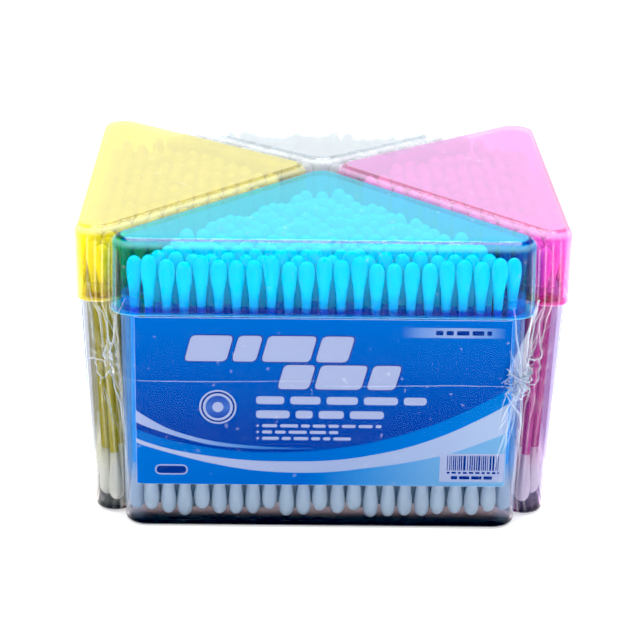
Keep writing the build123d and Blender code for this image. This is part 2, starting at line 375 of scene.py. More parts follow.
def along_print(name, attribute, stops, rough=0.35):
    """Printed ink whose colour runs along one direction of the label."""
    m, t, out = fresh(name)
    p = t.nodes.new("ShaderNodeBsdfPrincipled")
    a = t.nodes.new("ShaderNodeAttribute")
    a.attribute_name = attribute
    col = ramp(t, a.outputs["Fac"], [(at, tuple(c * INK_LEVEL for c in colour)) for at, colour in stops])
    # a very fine mottle, as offset print on coated paper has
    n = noise(t, 2500.0, 2.0)
    mx = t.nodes.new("ShaderNodeMix")
    mx.data_type = "RGBA"
    mx.blend_type = "MULTIPLY"
    mx.inputs["Factor"].default_value = 0.12
    t.links.new(col, mx.inputs["A"])
    t.links.new(ramp(t, n, [(0.3, (0.82, 0.84, 0.9)), (0.7, (1, 1, 1))]), mx.inputs["B"])
    t.links.new(mx.outputs["Result"], p.inputs["Base Color"])
    p.inputs["Roughness"].default_value = rough
    p.inputs["Specular IOR Level"].default_value = 0.08
    t.links.new(p.outputs[0], out.inputs["Surface"])
    return m


def lin(r, g, b):
    return tuple(((c / 255 + 0.055) / 1.055) ** 2.4 if c > 10 else c / 255 / 12.92 for c in (r, g, b))


LID = {
    "front": clear_plastic("blue_lid_plastic", (0.09, 0.890, 0.990), (0.03, 0.52, 0.97), box=(0, (0.0, 0.22, 0.70), (0.10, 0.84, 0.995), (0.02, 0.46, 0.90), (0.45, 0.93, 1.0), (0.04, 0.66, 0.74), 0.21)),
    "right": clear_plastic("pink_lid_plastic", (0.998, 0.74, 0.95), (0.96, 0.30, 0.62), box=(90, (0.97, 0.50, 0.60), (0.97, 0.37, 0.82), (0.90, 0.20, 0.48), (1.0, 0.80, 0.95), (0.475, 0.268, 0.50), 0.42)),
    "left": clear_plastic("yellow_lid_plastic", (0.998, 0.975, 0.66), (0.99, 0.88, 0.10), box=(270, (0.99, 0.90, 0.40), (0.998, 0.92, 0.03), (0.95, 0.78, 0.10), (1.0, 0.98, 0.80), (0.475, 0.43, 0.160), 0.52)),
    "back": clear_plastic("clear_lid_plastic", (0.985, 0.995, 0.998), (0.86, 0.92, 0.96), box=(180, (0.86, 0.92, 0.95), (0.95, 0.98, 0.99), (0.88, 0.92, 0.95), (0.96, 0.98, 1.0), (0.395, 0.425, 0.435), 0.5)),
}
TRAY_FOOT_SHADE = {"front": (0.50, 0.40, 0.40), "right": (0.60, 0.42, 0.60), "left": (0.58, 0.52, 0.52), "back": (0.55, 0.60, 0.64)}
TRAY_TINT = {"front": ((0.975, 0.985, 0.99), (0.72, 0.80, 0.92)), "right": ((0.960, 0.935, 0.970), (0.80, 0.74, 0.88)), "left": ((0.965, 0.965, 0.940), (0.82, 0.82, 0.78)), "back": ((0.985, 0.99, 0.99), (0.86, 0.88, 0.90))}
TRAY_PAINTED_CORNER_GLOW = {
    "front": (0.0, lin(60, 150, 232), lin(150, 170, 205), 0.22),
    "right": (90.0, lin(180, 90, 155), lin(150, 140, 180), 0.14),
    "left": (270.0, lin(150, 142, 60), lin(160, 160, 165), 0.14),
    "back": (180.0, lin(215, 222, 228), lin(215, 222, 228), 0.20),
}
TRAY = {s: clear_plastic(s + "_tray_plastic", *TRAY_TINT[s], base=0.005, climb=5.0, power=3.5, foot=TRAY_FOOT_SHADE[s], painted_corner_glow=TRAY_PAINTED_CORNER_GLOW[s]) for s in TRAY_TINT}
# the sticks carry a faint painted glow in their own colour
STICK = {
    "front": solid("blue_stick_plastic", lin(35, 160, 238), 0.35, 0.4, 0.04, 300.0, through=0.40, painted_glow=0.04),
    "right": solid("pink_stick_plastic", lin(196, 52, 150), 0.35, 0.4, 0.12, 300.0, through=0.35, painted_glow=0.03),
    "left": solid("yellow_stick_plastic", lin(192, 178, 26), 0.35, 0.4, 0.12, 300.0, through=0.35, painted_glow=0.03),
    "back": solid("white_stick_plastic", lin(240, 242, 244), 0.35, 0.4, 0.03, 300.0, through=0.45),
}
# the front box's lower tips are a dimmed, bluish copy of the cotton: painted shade for the light they get through the
# blue label and lid
COTTON_PAINTED_SHADE = solid("wound_cotton_painted_shade", (0.44, 0.52, 0.63), 0.95, 0.1, 0.08, 900.0, (2600.0, 0.35, 0.0003), 0.2, 0.25)
COTTON_PACKED = solid("wound_cotton_packed", (0.88, 0.90, 0.93), 0.95, 0.1, 0.08, 900.0, (2600.0, 0.35, 0.0003), 0.15, 0.08)
COTTON = solid("wound_cotton", (0.90, 0.91, 0.93), 0.95, 0.15, 0.06, 900.0, (2600.0, 0.35, 0.0003), 0.25, 0.3)
# the label's paper carries a strong painted glow, so the inside of the label reads lit
PAPER = solid("label_paper", (0.74, 0.77, 0.92), 0.6, 0.3, 0.03, 1200.0, painted_glow=0.45)

# ------------------------------------------------------------------ swabs
TIP_PROFILE = [(0.12, 0.62), (0.5, 1.22), (1.2, 1.74), (2.3, 2.08), (3.8, 2.20), (5.6, 2.09), (7.6, 1.80), (9.9, 1.50), (12.2, 1.30), (14.5, 1.19)]
SEGMENTS = 14


def tip_shape(rng):
    """One wound cotton tip standing on its blunt end: slightly lumpy, no two alike."""
    lean_a, lean = rng.uniform(0, 6.28), rng.uniform(0.0, 0.10)
    wide, tall = rng.uniform(0.965, 1.02), rng.uniform(0.95, 1.03)
    lobes = [(rng.randint(2, 3), rng.uniform(0, 6.28), rng.uniform(0.0, 0.030)) for _ in range(2)]
    flat = rng.uniform(-0.15, 0.2)
    verts = [(0.0, 0.0, 0.0)]
    for z, r in TIP_PROFILE:
        bulge = math.exp(-((z - 3.5) / 4.0) ** 2)
        for k in range(SEGMENTS):
            a = 2 * math.pi * k / SEGMENTS
            rr = r * (1 + (wide - 1) * bulge)
            for n, ph, amp in lobes:
                rr *= 1 + amp * math.sin(n * a + ph + z * 0.25) * bulge
            off = lean * bulge
            verts.append((rr * math.cos(a) + off * math.cos(lean_a), rr * math.sin(a) + off * math.sin(lean_a), z * (tall if z < 12 else 1) + flat * 0.2 * math.cos(a + lean_a) * (1 if z < 1 else 0)))
    verts.append((0.0, 0.0, 14.5))
    faces = []
    for k in range(SEGMENTS):
        n = (k + 1) % SEGMENTS
        faces.append((0, 1 + n, 1 + k))
        for i in range(len(TIP_PROFILE) - 1):
            a0, b0 = 1 + i * SEGMENTS, 1 + (i + 1) * SEGMENTS
            faces.append((a0 + k, a0 + n, b0 + n, b0 + k))
        top = 1 + (len(TIP_PROFILE) - 1) * SEGMENTS
        faces.append((top + k, top + n, len(verts) - 1))
    return np.array(verts), faces


tip_rng = random.Random(7)
TIP_SHAPES = [tip_shape(tip_rng) for _ in range(9)]
for side, turn, seed in SIDES:
    seat = seat_matrix(turn)
    rng = random.Random(seed + 1000)
    sets = {"lower": ([], []), "upper": ([], [])}
    for x, y, z, tx, ty in swab_spots(seed):
        tx += rng.uniform(-0.10, 0.10)
        ty += rng.uniform(-0.10, 0.10)
        middle = (
            seat
            @ Matrix.Translation((x, y, z + SWAB_LENGTH / 2))
            @ Matrix.Rotation(math.radians(tx), 4, "X")
            @ Matrix.Rotation(math.radians(ty), 4, "Y")
        )
        for kind, place in (
            ("lower", middle @ Matrix.Translation((0, 0, -SWAB_LENGTH / 2))),
            ("upper", middle @ Matrix.Translation((0, 0, SWAB_LENGTH / 2)) @ Matrix.Rotation(math.pi, 4, "X")),
        ):
            shape, faces = TIP_SHAPES[rng.randrange(len(TIP_SHAPES))]
            m = np.array(place @ Matrix.Rotation(rng.uniform(0, 2 * math.pi), 4, "Z"))
            pts = shape @ m[:3, :3].T + m[:3, 3]
            base = len(sets[kind][0])
            sets[kind][0].extend(pts.tolist())
            sets[kind][1].extend([tuple(i + base for i in f) for f in faces])
    for kind in ("lower", "upper"):
        tips = new_piece(f"{side}_{kind}_cotton", *sets[kind], [(COTTON_PAINTED_SHADE if kind == "lower" else COTTON_PACKED) if side == "front" else COTTON], "cotton")
        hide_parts(f"{side}_{kind}_tips")


# ------------------------------------------------------------------ label print
def curve(points, u):
    """Smooth curve through points (Catmull-Rom in value), read at u."""
    xs = [p[0] for p in points]
    ys = [p[1] for p in points]
    u = min(max(u, xs[0]), xs[-1])
    i = min(max(int(np.searchsorted(xs, u, side="right")) - 1, 0), len(xs) - 2)
    h = xs[i + 1] - xs[i]
    s = (u - xs[i]) / h

    def slope(k):
        if k == 0:
            return (ys[1] - ys[0]) / (xs[1] - xs[0])
        if k == len(xs) - 1:
            return (ys[-1] - ys[-2]) / (xs[-1] - xs[-2])
        return (ys[k + 1] - ys[k - 1]) / (xs[k + 1] - xs[k - 1])

    m0, m1 = slope(i) * h, slope(i + 1) * h
    return (2 * s**3 - 3 * s**2 + 1) * ys[i] + (s**3 - 2 * s**2 + s) * m0 + (-2 * s**3 + 3 * s**2) * ys[i + 1] + (s**3 - s**2) * m1


CORNER_X = HALF_SPAN - (FOOT_INSET + FOOT_RADIUS) * (1 + ROOT2)


def wall_point(u, v, off):
    """A point off the tray's long wall: u along it, v up it, both following the rounded corners."""
    grow = (FOOT_INSET - SHOULDER_INSET) * v / SHOULDER_Z
    r = FOOT_RADIUS + grow
    cy = FOOT_INSET + FOOT_RADIUS
    if abs(u) <= CORNER_X:
        return (u, cy - r - off, v)
    a = (abs(u) - CORNER_X) / (r + off)
    return (math.copysign(CORNER_X + (r + off) * math.sin(a), u), cy - (r + off) * math.cos(a), v)


H = LABEL_HALF + 0.04
PALE_UP = [(-50.4, 35.0), (-41.4, 29.7), (-30.3, 26.3), (-19.1, 24.85), (-7.9, 24.35), (2.3, 24.2)]
PALE_LO = [(-50.4, 31.4), (-41.4, 28.1), (-30.3, 25.1), (-19.1, 24.05), (-7.9, 23.85), (2.3, 24.1)]
DARK_LO = [(-50.4, 29.4), (-41.5, 26.4), (-30.3, 24.1), (-19.1, 22.95), (-6.2, 23.1), (2.3, 24.0)]
AZ_RIGHT = [(2.3, 24.0), (11.1, 25.5), (22.4, 28.7), (33.7, 33.1), (44.9, 39.1), (50.4, 42.6)]
WH_UP = [(-50.4, 26.6), (-41.5, 23.7), (-30.3, 21.6), (-19.1, 20.4), (-7.8, 20.2), (2.4, 20.6), (11.1, 21.8), (22.6, 24.5), (33.9, 28.8), (45.1, 34.7), (50.4, 38.0)]
WH_LO = [(-50.4, 25.3), (-41.5, 22.5), (-30.3, 19.5), (-19.1, 17.5), (-7.8, 16.8), (2.5, 17.1), (11.2, 18.2), (22.7, 20.0), (32.6, 22.3), (37.9, 24.0), (45.4, 27.1), (50.4, 29.3)]


def level_values(u):
    low, high = LABEL_LOW + 0.05, LABEL_HIGH - 0.05
    wl, wu = curve(WH_LO, u), curve(WH_UP, u)
    if u <= 2.3:
        az, dark, pale = curve(DARK_LO, u), curve(PALE_LO, u), curve(PALE_UP, u)
    else:
        az = curve(AZ_RIGHT, u)
        dark, pale = az + 0.001, az + 0.002
    vals = [low, wl, wu, az, dark, pale, high]
    for i in range(1, 7):
        vals[i] = max(vals[i], vals[i - 1] + 0.001)
    return vals


GROUND = along_print("print_ground", "label_v", [(0.0, lin(36, 62, 165)), (0.35, lin(32, 72, 178)), (0.62, lin(22, 92, 198)), (1.0, lin(8, 112, 220))])
PALE = along_print("print_pale_band", "label_u", [(0.0, lin(180, 194, 238)), (0.17, lin(150, 180, 235)), (0.30, lin(90, 150, 226)), (0.42, lin(40, 110, 205)), (0.52, lin(20, 90, 195))])
NAVY = along_print("print_navy_band", "label_u", [(0.0, lin(34, 66, 172)), (1.0, lin(28, 58, 165))])
AZURE = along_print("print_azure_band", "label_u", [(0.0, lin(30, 116, 216)), (0.5, lin(2, 112, 220)), (1.0, lin(12, 128, 226))])
WHITE = along_print("print_white_band", "label_u", [(0.0, lin(196, 204, 240)), (0.5, lin(176, 192, 236)), (0.8, lin(178, 198, 240)), (1.0, lin(186, 208, 245))])
BASE = along_print("print_lower_field", "label_u", [(0.0, lin(6, 116, 224)), (0.45, lin(4, 112, 220)), (0.62, lin(70, 152, 232)), (0.8, lin(116, 178, 236)), (1.0, lin(132, 190, 240))])
INK_PALE = solid("print_pale_ink", tuple(c * INK_LEVEL for c in lin(182, 194, 236)), 0.35, 0.08, 0.03, 900.0)
INK_NAVY = solid("print_navy_ink", tuple(c * INK_LEVEL for c in lin(28, 54, 150)), 0.35, 0.08, 0.03, 900.0)
INK_VIOLET = solid("print_outline_ink", tuple(c * INK_LEVEL for c in lin(58, 66, 165)), 0.35, 0.08, 0.03, 900.0)
INK_DISC = along_print("print_disc_ink", "label_v", [(0.40, lin(34, 66, 176)), (0.47, lin(80, 120, 212)), (0.55, lin(40, 76, 186))])
TAG_INK = along_print("print_tag_ink", "label_u", [(0.705, lin(14, 104, 214)), (0.76, lin(120, 160, 232)), (0.86, lin(168, 188, 238)), (0.94, lin(120, 160, 232)), (0.985, lin(10, 108, 218))])


def label_print(side, seat):
    rows_each = [2, 3, 3, 2, 2, 8]
    stations = [-H + (H - CORNER_X) * k / 9 for k in range(9)] + [-CORNER_X + 2 * CORNER_X * k / 90 for k in range(91)] + [CORNER_X + (H - CORNER_X) * k / 9 for k in range(1, 10)]
    columns = len(stations) - 1
    verts, faces, index, us, vs = [], [], [], [], []
    mats = [BASE, WHITE, AZURE, NAVY, PALE, GROUND]
    total = sum(rows_each) + 1
    for c in range(columns + 1):
        u = stations[c]
        levels = level_values(u)
        col = [levels[0]]
        for b, n in enumerate(rows_each):
            for k in range(1, n + 1):
                col.append(levels[b] + (levels[b + 1] - levels[b]) * k / n)
        for v in col:
            verts.append(seat @ Vector(wall_point(u, v, LABEL_THICK + 0.05)))
            us.append((u + 50.4) / 100.8)
            vs.append((v - LABEL_LOW) / (LABEL_HIGH - LABEL_LOW))
    for c in range(columns):
        r = 0
        for b, n in enumerate(rows_each):
            for _ in range(n):
                a = c * total + r
                faces.append((a, a + total, a + total + 1, a + 1))
                index.append(b)
                r += 1
    obj = new_piece(f"{side}_label_print", verts, faces, mats, "label_print", True, index)
    add_float(obj, "label_u", us)
    add_float(obj, "label_v", vs)
    return obj


class Inks:
    """Flat printed shapes collected on one wall, each a hair proud of the one below it."""

    def __init__(self, seat):
        self.seat, self.verts, self.faces, self.index, self.us, self.vs = seat, [], [], [], [], []
        self.mats = [INK_PALE, INK_NAVY, INK_VIOLET, INK_DISC, TAG_INK]

    def shape(self, outline, ink, layer=1):
        off = LABEL_THICK + 0.05 + 0.014 * layer
        # long edges are cut so that a shape follows the wall
        pts = []
        for i, p in enumerate(outline):
            q = outline[(i + 1) % len(outline)]
            n = max(1, int(math.hypot(q[0] - p[0], q[1] - p[1]) / 3.0)) if max(abs(p[0]), abs(q[0])) > CORNER_X - 1 else 1
            for k in range(n):
                pts.append((p[0] + (q[0] - p[0]) * k / n, p[1] + (q[1] - p[1]) * k / n))
        base = len(self.verts)
        for u, v in pts:
            self.verts.append(self.seat @ Vector(wall_point(u, v, off)))
            self.us.append((u + 50.4) / 100.8)
            self.vs.append((v - LABEL_LOW) / (LABEL_HIGH - LABEL_LOW))
        for tri in tessellate_polygon([[Vector((u, v, 0)) for u, v in pts]]):
            a, b, c = tri
            area = (pts[b][0] - pts[a][0]) * (pts[c][1] - pts[a][1]) - (pts[b][1] - pts[a][1]) * (pts[c][0] - pts[a][0])
            self.faces.append((base + a, base + b, base + c) if area > 0 else (base + a, base + c, base + b))
            self.index.append(ink)

    def strips(self, u0, u1, v0, v1, ink, layer=1):
        """A plain field that goes round the wall's rounded end."""
        u = u0
        while u < u1 - 1e-6:
            n = min(u1, CORNER_X) if u < CORNER_X - 1e-6 else min(u + 0.3, u1)
            self.shape([(u, v0), (n, v0), (n, v1), (u, v1)], ink, layer)
            u = n

    def bar(self, u0, u1, v0, v1, ink, layer=1, round_=0.0, slant=0.0):
        r = min(round_, (u1 - u0) / 2.01, (v1 - v0) / 2.01)
        pts = []
        if r <= 0:
            pts = [(u0, v0), (u1, v0), (u1, v1), (u0, v1)]
        else:
            for cx, cy, a0 in ((u1 - r, v0 + r, -90), (u1 - r, v1 - r, 0), (u0 + r, v1 - r, 90), (u0 + r, v0 + r, 180)):
                for k in range(5):
                    a = math.radians(a0 + 22.5 * k)
                    pts.append((cx + r * math.cos(a), cy + r * math.sin(a)))
        self.shape([(u + (v - v0) * slant, v) for u, v in pts], ink, layer)

    def disc(self, u, v, r, ink, layer=1, n=40):
        self.shape([(u + r * math.cos(2 * math.pi * k / n), v + r * math.sin(2 * math.pi * k / n)) for k in range(n)], ink, layer)

    def words(self, u0, u1, v0, v1, ink, rng, low, high, gap, layer=1, round_=0.5, slant=0.0):
        u = u0
        while u < u1 - low * 0.6:
            w = min(rng.uniform(low, high), u1 - u)
            self.bar(u, u + w, v0, v1, ink, layer, round_, slant)
            u += w + gap

    def build(self, name):
        obj = new_piece(name, self.verts, self.faces, self.mats, "label_print", False, self.index)
        add_float(obj, "label_u", self.us)
        add_float(obj, "label_v", self.vs)
        return obj


def label_shapes(side, seat):
    """Generic shapes in the places of the wording: plain blocks and bars, a round badge of rings and discs, and a field
    of upright bars.
    """
    inks = Inks(seat)
    rng = random.Random(5)
    # two heavy rows of slanted blocks with a darker edge
    for u0, widths, v0, v1 in ((-37.2, (11.2, 6.4, 13.0, 8.6), 49.9, 57.4), (-12.2, (8.4, 12.6, 7.6), 41.9, 49.0)):
        u = u0
        for w in widths:
            inks.bar(u - 0.35, u + w + 0.35, v0 - 0.35, v1 + 0.35, 2, 1, 1.5, 0.26)
            inks.bar(u, u + w, v0, v1, 0, 2, 1.2, 0.26)
            u += w + 1.5
    inks.words(-17.9, 28.2, 37.4, 39.7, 0, rng, 4.5, 9.5, 1.6, 1, 0.9)
    inks.words(-17.9, 17.8, 33.2, 35.5, 0, rng, 4.5, 9.5, 1.6, 1, 0.9)
    for v, u1 in ((30.5, 16.2), (28.6, 5.8), (26.7, 8.4)):
        inks.disc(-17.4, v + 0.45, 0.34, 0, 1, 10)
        inks.words(-16.2, u1, v, v + 0.9, 0, rng, 2.0, 5.2, 0.8, 1, 0.4)
    # a plain round badge: rings and a disc
    inks.disc(-28.2, 36.4, 5.05, 0, 1)
    inks.disc(-28.2, 36.4, 4.55, 1, 2)
    inks.disc(-28.2, 36.4, 4.05, 0, 3)
    inks.disc(-28.2, 36.4, 3.35, 3, 4)
    inks.disc(-28.2, 36.4, 1.5, 0, 5, 28)
    # small pill in the lower left
    inks.bar(-45.4, -36.4, 15.9, 19.0, 0, 1, 1.5)
    inks.bar(-45.0, -36.8, 16.3, 18.6, 1, 2, 1.1)
    # pale strip in the upper right, with small dark bars on it
    for k in range(24):
        inks.strips(21.0 + 29.2 * k / 24, 21.0 + 29.2 * (k + 1) / 24, 57.3, 60.2, 4, 1)
    inks.words(30.0, 45.0, 58.1, 59.4, 1, rng, 1.6, 3.4, 0.8, 2, 0.3)
    # pale panel with upright bars
    inks.strips(32.4, 50.2, 14.4, 23.0, 0, 1)
    u = 34.4
    while u < 48.6:
        w = rng.choice((0.22, 0.22, 0.34, 0.5, 0.66))
        inks.bar(u, min(u + w, 48.9), 17.9, 22.4, 1, 2)
        u += w + rng.choice((0.22, 0.3, 0.42))
    inks.words(34.4, 48.8, 16.9, 17.5, 1, rng, 0.7, 1.3, 0.5, 2, 0.2)
    inks.words(35.6, 46.9, 15.2, 16.2, 1, rng, 1.6, 3.2, 0.5, 2, 0.2)
    return inks.build(f"{side}_label_shapes")


for side, turn, seed in SIDES:
    seat = seat_matrix(turn)
    label_print(side, seat)
    if side == "front":
        label_shapes(side, seat)
    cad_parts[f"{side}_label"].data.materials.clear()
    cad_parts[f"{side}_label"].data.materials.append(PAPER)


# ------------------------------------------------------------------ materials on the CAD pieces that stay
def dress(node, material):
    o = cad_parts[node]
    o.data.materials.clear()
    o.data.materials.append(material)
    o.data.polygons.foreach_set("use_smooth", np.ones(len(o.data.polygons), bool))
    o.data.update()


for side, _, _ in SIDES:
    dress(f"{side}_tray", TRAY[side])
    dress(f"{side}_lid", LID[side])
    dress(f"{side}_swab_sticks", STICK[side])

# ------------------------------------------------------------------ shrink film
FILM_EASE, FILM_TOP_EASE = 0.16, 0.38
FOOT_MID = HALF_SPAN - (FOOT_INSET + FOOT_RADIUS) * (1 + ROOT2)
LID_MID = HALF_SPAN + LID_FLARE * (1 + ROOT2) - RIM_RADIUS * (1 + ROOT2)


def section(y, z):
    return SEAT_OUT - (y * COS - z * SIN), y * SIN + z * COS + SEAT_LIFT


def film_levels():
    """height, distance out, corner radius, corner middle, from foot to crown"""
    g = FILM_EASE
    out, _ = section(FOOT_INSET, 1.2)
    keys = []
    # round the foot, then straight to the lids' rims
    for a in (90, 60, 30, 0):
        keys.append((1.2 - 1.2 * math.sin(math.radians(a)) + 0.02, out + g - 1.2 + 1.2 * math.cos(math.radians(a)), FOOT_RADIUS + g - 1.2 + 1.2 * math.cos(math.radians(a)), FOOT_MID))
    o2, h2 = section(-LID_FLARE, SHOULDER_Z)
    o1, h1 = out + g, keys[-1][0]
    count = 92
    for k in range(1, count):
        s = k / count
        # the film hugs the tray and only swings out to the rim near the top
        hug = 0.30 * math.sin(math.pi * s) ** 2
        keys.append((h1 + (h2 - h1) * s, o1 + (o2 + g - o1) * s - hug, FOOT_RADIUS + (RIM_RADIUS - FOOT_RADIUS) * s + g - hug * 0.3, FOOT_MID + (LID_MID - FOOT_MID) * s))
    keys.append((h2, o2 + g, RIM_RADIUS + g, LID_MID))
    mo, mh = section(TOP_ROUND, BOX_HEIGHT - TOP_ROUND)
    for k in range(1, 24):
        s = k / 24
        keys.append((h2 + (mh - h2) * s, o2 + g + (mo + TOP_ROUND - o2) * s, RIM_RADIUS + g - 0.6 * s, LID_MID))
    for a in range(0, 90, 15):
        r = TOP_ROUND + g
        keys.append((mh + r * math.sin(math.radians(a)) + (FILM_TOP_EASE - g) * a / 88, mo + r * math.cos(math.radians(a)), 3.3 + r * math.cos(math.radians(a)), LID_MID))
    ro, rh = mo, mh + TOP_ROUND + FILM_TOP_EASE
    for k in range(0, 25):
        s = k / 25
        o = ro * (1 - s) + 3.0 * s
        keys.append((rh + (ro - o) * math.tan(math.radians(LEAN)), o, 3.3 * (1 - s) + 1.0 * s, LID_MID * (1 - s) + 1.2 * s))
    return keys


LEVELS = film_levels()
WALL_TOP = section(TOP_ROUND, BOX_HEIGHT - TOP_ROUND)[1]


def level_at(z):
    """The film's plan at one height of its walls."""
    for i in range(len(LEVELS) - 1):
        a, b = LEVELS[i], LEVELS[i + 1]
        if a[0] <= z <= b[0] and b[0] > a[0]:
            s = (z - a[0]) / (b[0] - a[0])
            return tuple(a[k] + (b[k] - a[k]) * s for k in range(4))
    return LEVELS[0]


def plan_point(q, c, out, radius, mid):
    """Point and outward normal at the distance c from the middle of corner gap q, along the film's plan."""
    a, b = mid, out - radius
    d = 1 / ROOT2
    span = (b - a) * ROOT2
    turn = radius * math.pi / 4
    if abs(c) <= span / 2:
        s = c / span + 0.5
        x, y, nx, ny = a + (b - a) * s + radius * d, -b + (b - a) * s - radius * d, d, -d
    elif c < 0:
        e = -c - span / 2
        if e <= turn:
            t = -math.pi / 4 - e / radius
            nx, ny = math.cos(t), math.sin(t)
            x, y = a + radius * nx, -b + radius * ny
        else:
            x, y, nx, ny = a - (e - turn), -out, 0.0, -1.0
    else:
        e = c - span / 2
        if e <= turn:
            t = -math.pi / 4 + e / radius
            nx, ny = math.cos(t), math.sin(t)
            x, y = b + radius * nx, -a + radius * ny
        else:
            x, y, nx, ny = out, -a + (e - turn), 1.0, 0.0
    cs, sn = round(math.cos(math.pi / 2 * q)), round(math.sin(math.pi / 2 * q))
    return x * cs - y * sn, x * sn + y * cs, nx * cs - ny * sn, nx * sn + ny * cs


def smooth_noise(x, y, seed):
    """A cheap repeatable wave field in -1..1."""
    return (
        math.sin(x * 1.7 + seed * 1.3 + 1.1 * math.sin(y * 0.9 + seed))
        + math.sin(y * 1.3 - seed * 0.7 + 1.3 * math.sin(x * 1.1 - seed * 2.1))
        + math.sin((x + y) * 0.8 + seed * 2.9)
    ) / 3.0


# where the film was drawn together and welded in each corner gap: across, up, strength
KNOTS = {0: (-8.0, 44.8, 1.0), 1: (1.5, 45.0, 0.7), 2: (-1.0, 44.0, 0.7), 3: (0.0, 46.5, 0.7)}


def film_form(q, c, z, out, radius, mid):
    """How far the film stands in or out from its drawn plan near corner gap q, and how much painted sheen it carries
    there.
    """
    if z > WALL_TOP + 3.0 or z < 0.5:
        return 0.0, 0.0
    span = (out - radius - mid) * ROOT2
    half = span / 2
    kc, kz, force = KNOTS[q]
    across, up = c - kc, z - kz
    dist = math.hypot(across, up * 0.9)
    ang = math.atan2(up, across)
    inside = max(0.0, 1.0 - (c / half) ** 2) if abs(c) < half else 0.0
    near = math.exp(-max(0.0, abs(c) - half) / 3.0)
    foot = min(1.0, z / 8.0)
    below = 1.0 if z < SHOULDER_Z - 3 else max(0.35, 1 - (z - SHOULDER_Z + 3) / 6.0)
    d = -1.9 * inside * foot * below
    painted_sheen = 0.0
    # folds that fan out from the weld, mostly up and down
    fold = math.sin(13 * ang + 1.7 * math.sin(3 * ang + q) + 0.5 * smooth_noise(across * 0.5, up * 0.2, q))
    sharp = math.copysign(abs(fold) ** 0.6, fold)
    reach = math.exp(-dist / 13.0) * min(1.0, dist / 2.5)
    d += force * 0.75 * sharp * reach * (inside**0.5 if inside > 0 else 0.0)
    d += force * 0.10 * sharp * reach * near * (1.0 if inside == 0 else 0.0)
    # upright drapes
    d += 0.30 * math.sin(c * 2.1 + 1.5 * math.sin(z * 0.07 + q) + q) * inside * foot
    # painted sheen: a pale diffuse on one flank of each fold, standing in for the highlights on the folds
    painted_sheen += 0.12 * force * max(0.0, fold) ** 3 * math.exp(-dist / 13.0) * near
    if dist < 6.0 and abs(c) < half + 2:
        k = (1 - dist / 6.0) * force
        d += k * 1.0 * (0.5 + smooth_noise(across * 2.6, up * 2.4, 3.0 + q))
        d += k * 0.55 * smooth_noise(across * 5.6, up * 5.2, 9.0 + q)
        # painted sheen: the crumpled weld is painted pale, standing in for its highlights
        painted_sheen += 0.30 * k * (0.4 + 0.6 * max(0.0, smooth_noise(across * 3.6, up * 3.4, 5.0 + q)))
    return d, min(0.7, painted_sheen)


def film_mesh():
    verts, faces, painted_sheens, rows = [], [], [], []
    n_side, n_chamfer, n_arc = 50, 46, 9
    for z, out, radius, mid in LEVELS:
        span = (out - radius - mid) * ROOT2
        turn = radius * math.pi / 4
        row = []
        for q in range(4):
            stations = [-span / 2 - turn - mid * (1 - k / (n_side / 2)) for k in range(n_side // 2)]
            stations += [-span / 2 - turn * (1 - k / n_arc) for k in range(n_arc)]
            stations += [-span / 2 + span * k / n_chamfer for k in range(n_chamfer)]
            stations += [span / 2 + turn * k / n_arc for k in range(n_arc)]
            stations += [span / 2 + turn + mid * k / (n_side / 2) for k in range(n_side // 2)]
            for c in stations:
                x, y, nx, ny = plan_point(q, c, out, radius, mid)
                d, painted_sheen = film_form(q, c, z, out, radius, mid)
                if 4.0 < z < SHOULDER_Z - 1 and abs(c) > span / 2 + turn:
                    d += 0.03 * smooth_noise(x * 0.35 + y * 0.35, z * 0.5, 2.0)
                row.append((x + nx * d, y + ny * d, z))
                painted_sheens.append(painted_sheen)
        rows.append(row)
    n = len(rows[0])
    for row in rows:
        verts.extend(row)
    for i in range(len(rows) - 1):
        for k in range(n):
            a, b = i * n + k, i * n + (k + 1) % n
            faces.append((a, b, b + n, a + n))
    crown = len(verts)
    verts.append((0.0, 0.0, rows[-1][0][2] + 0.12))
    sole = len(verts)
    verts.append((0.0, 0.0, rows[0][0][2]))
    painted_sheens += [0.0, 0.0]
    last = (len(rows) - 1) * n
    for k in range(n):
        faces.append((last + k, last + (k + 1) % n, crown))
        faces.append(((k + 1) % n, k, sole))
    return verts, faces, painted_sheens


def film_point(q, c, z, off):
    z, out, radius, mid = level_at(z)
    x, y, nx, ny = plan_point(q, c, out, radius, mid)
    d, _ = film_form(q, c, z, out, radius, mid)
    return (x + nx * (d + off), y + ny * (d + off), z)


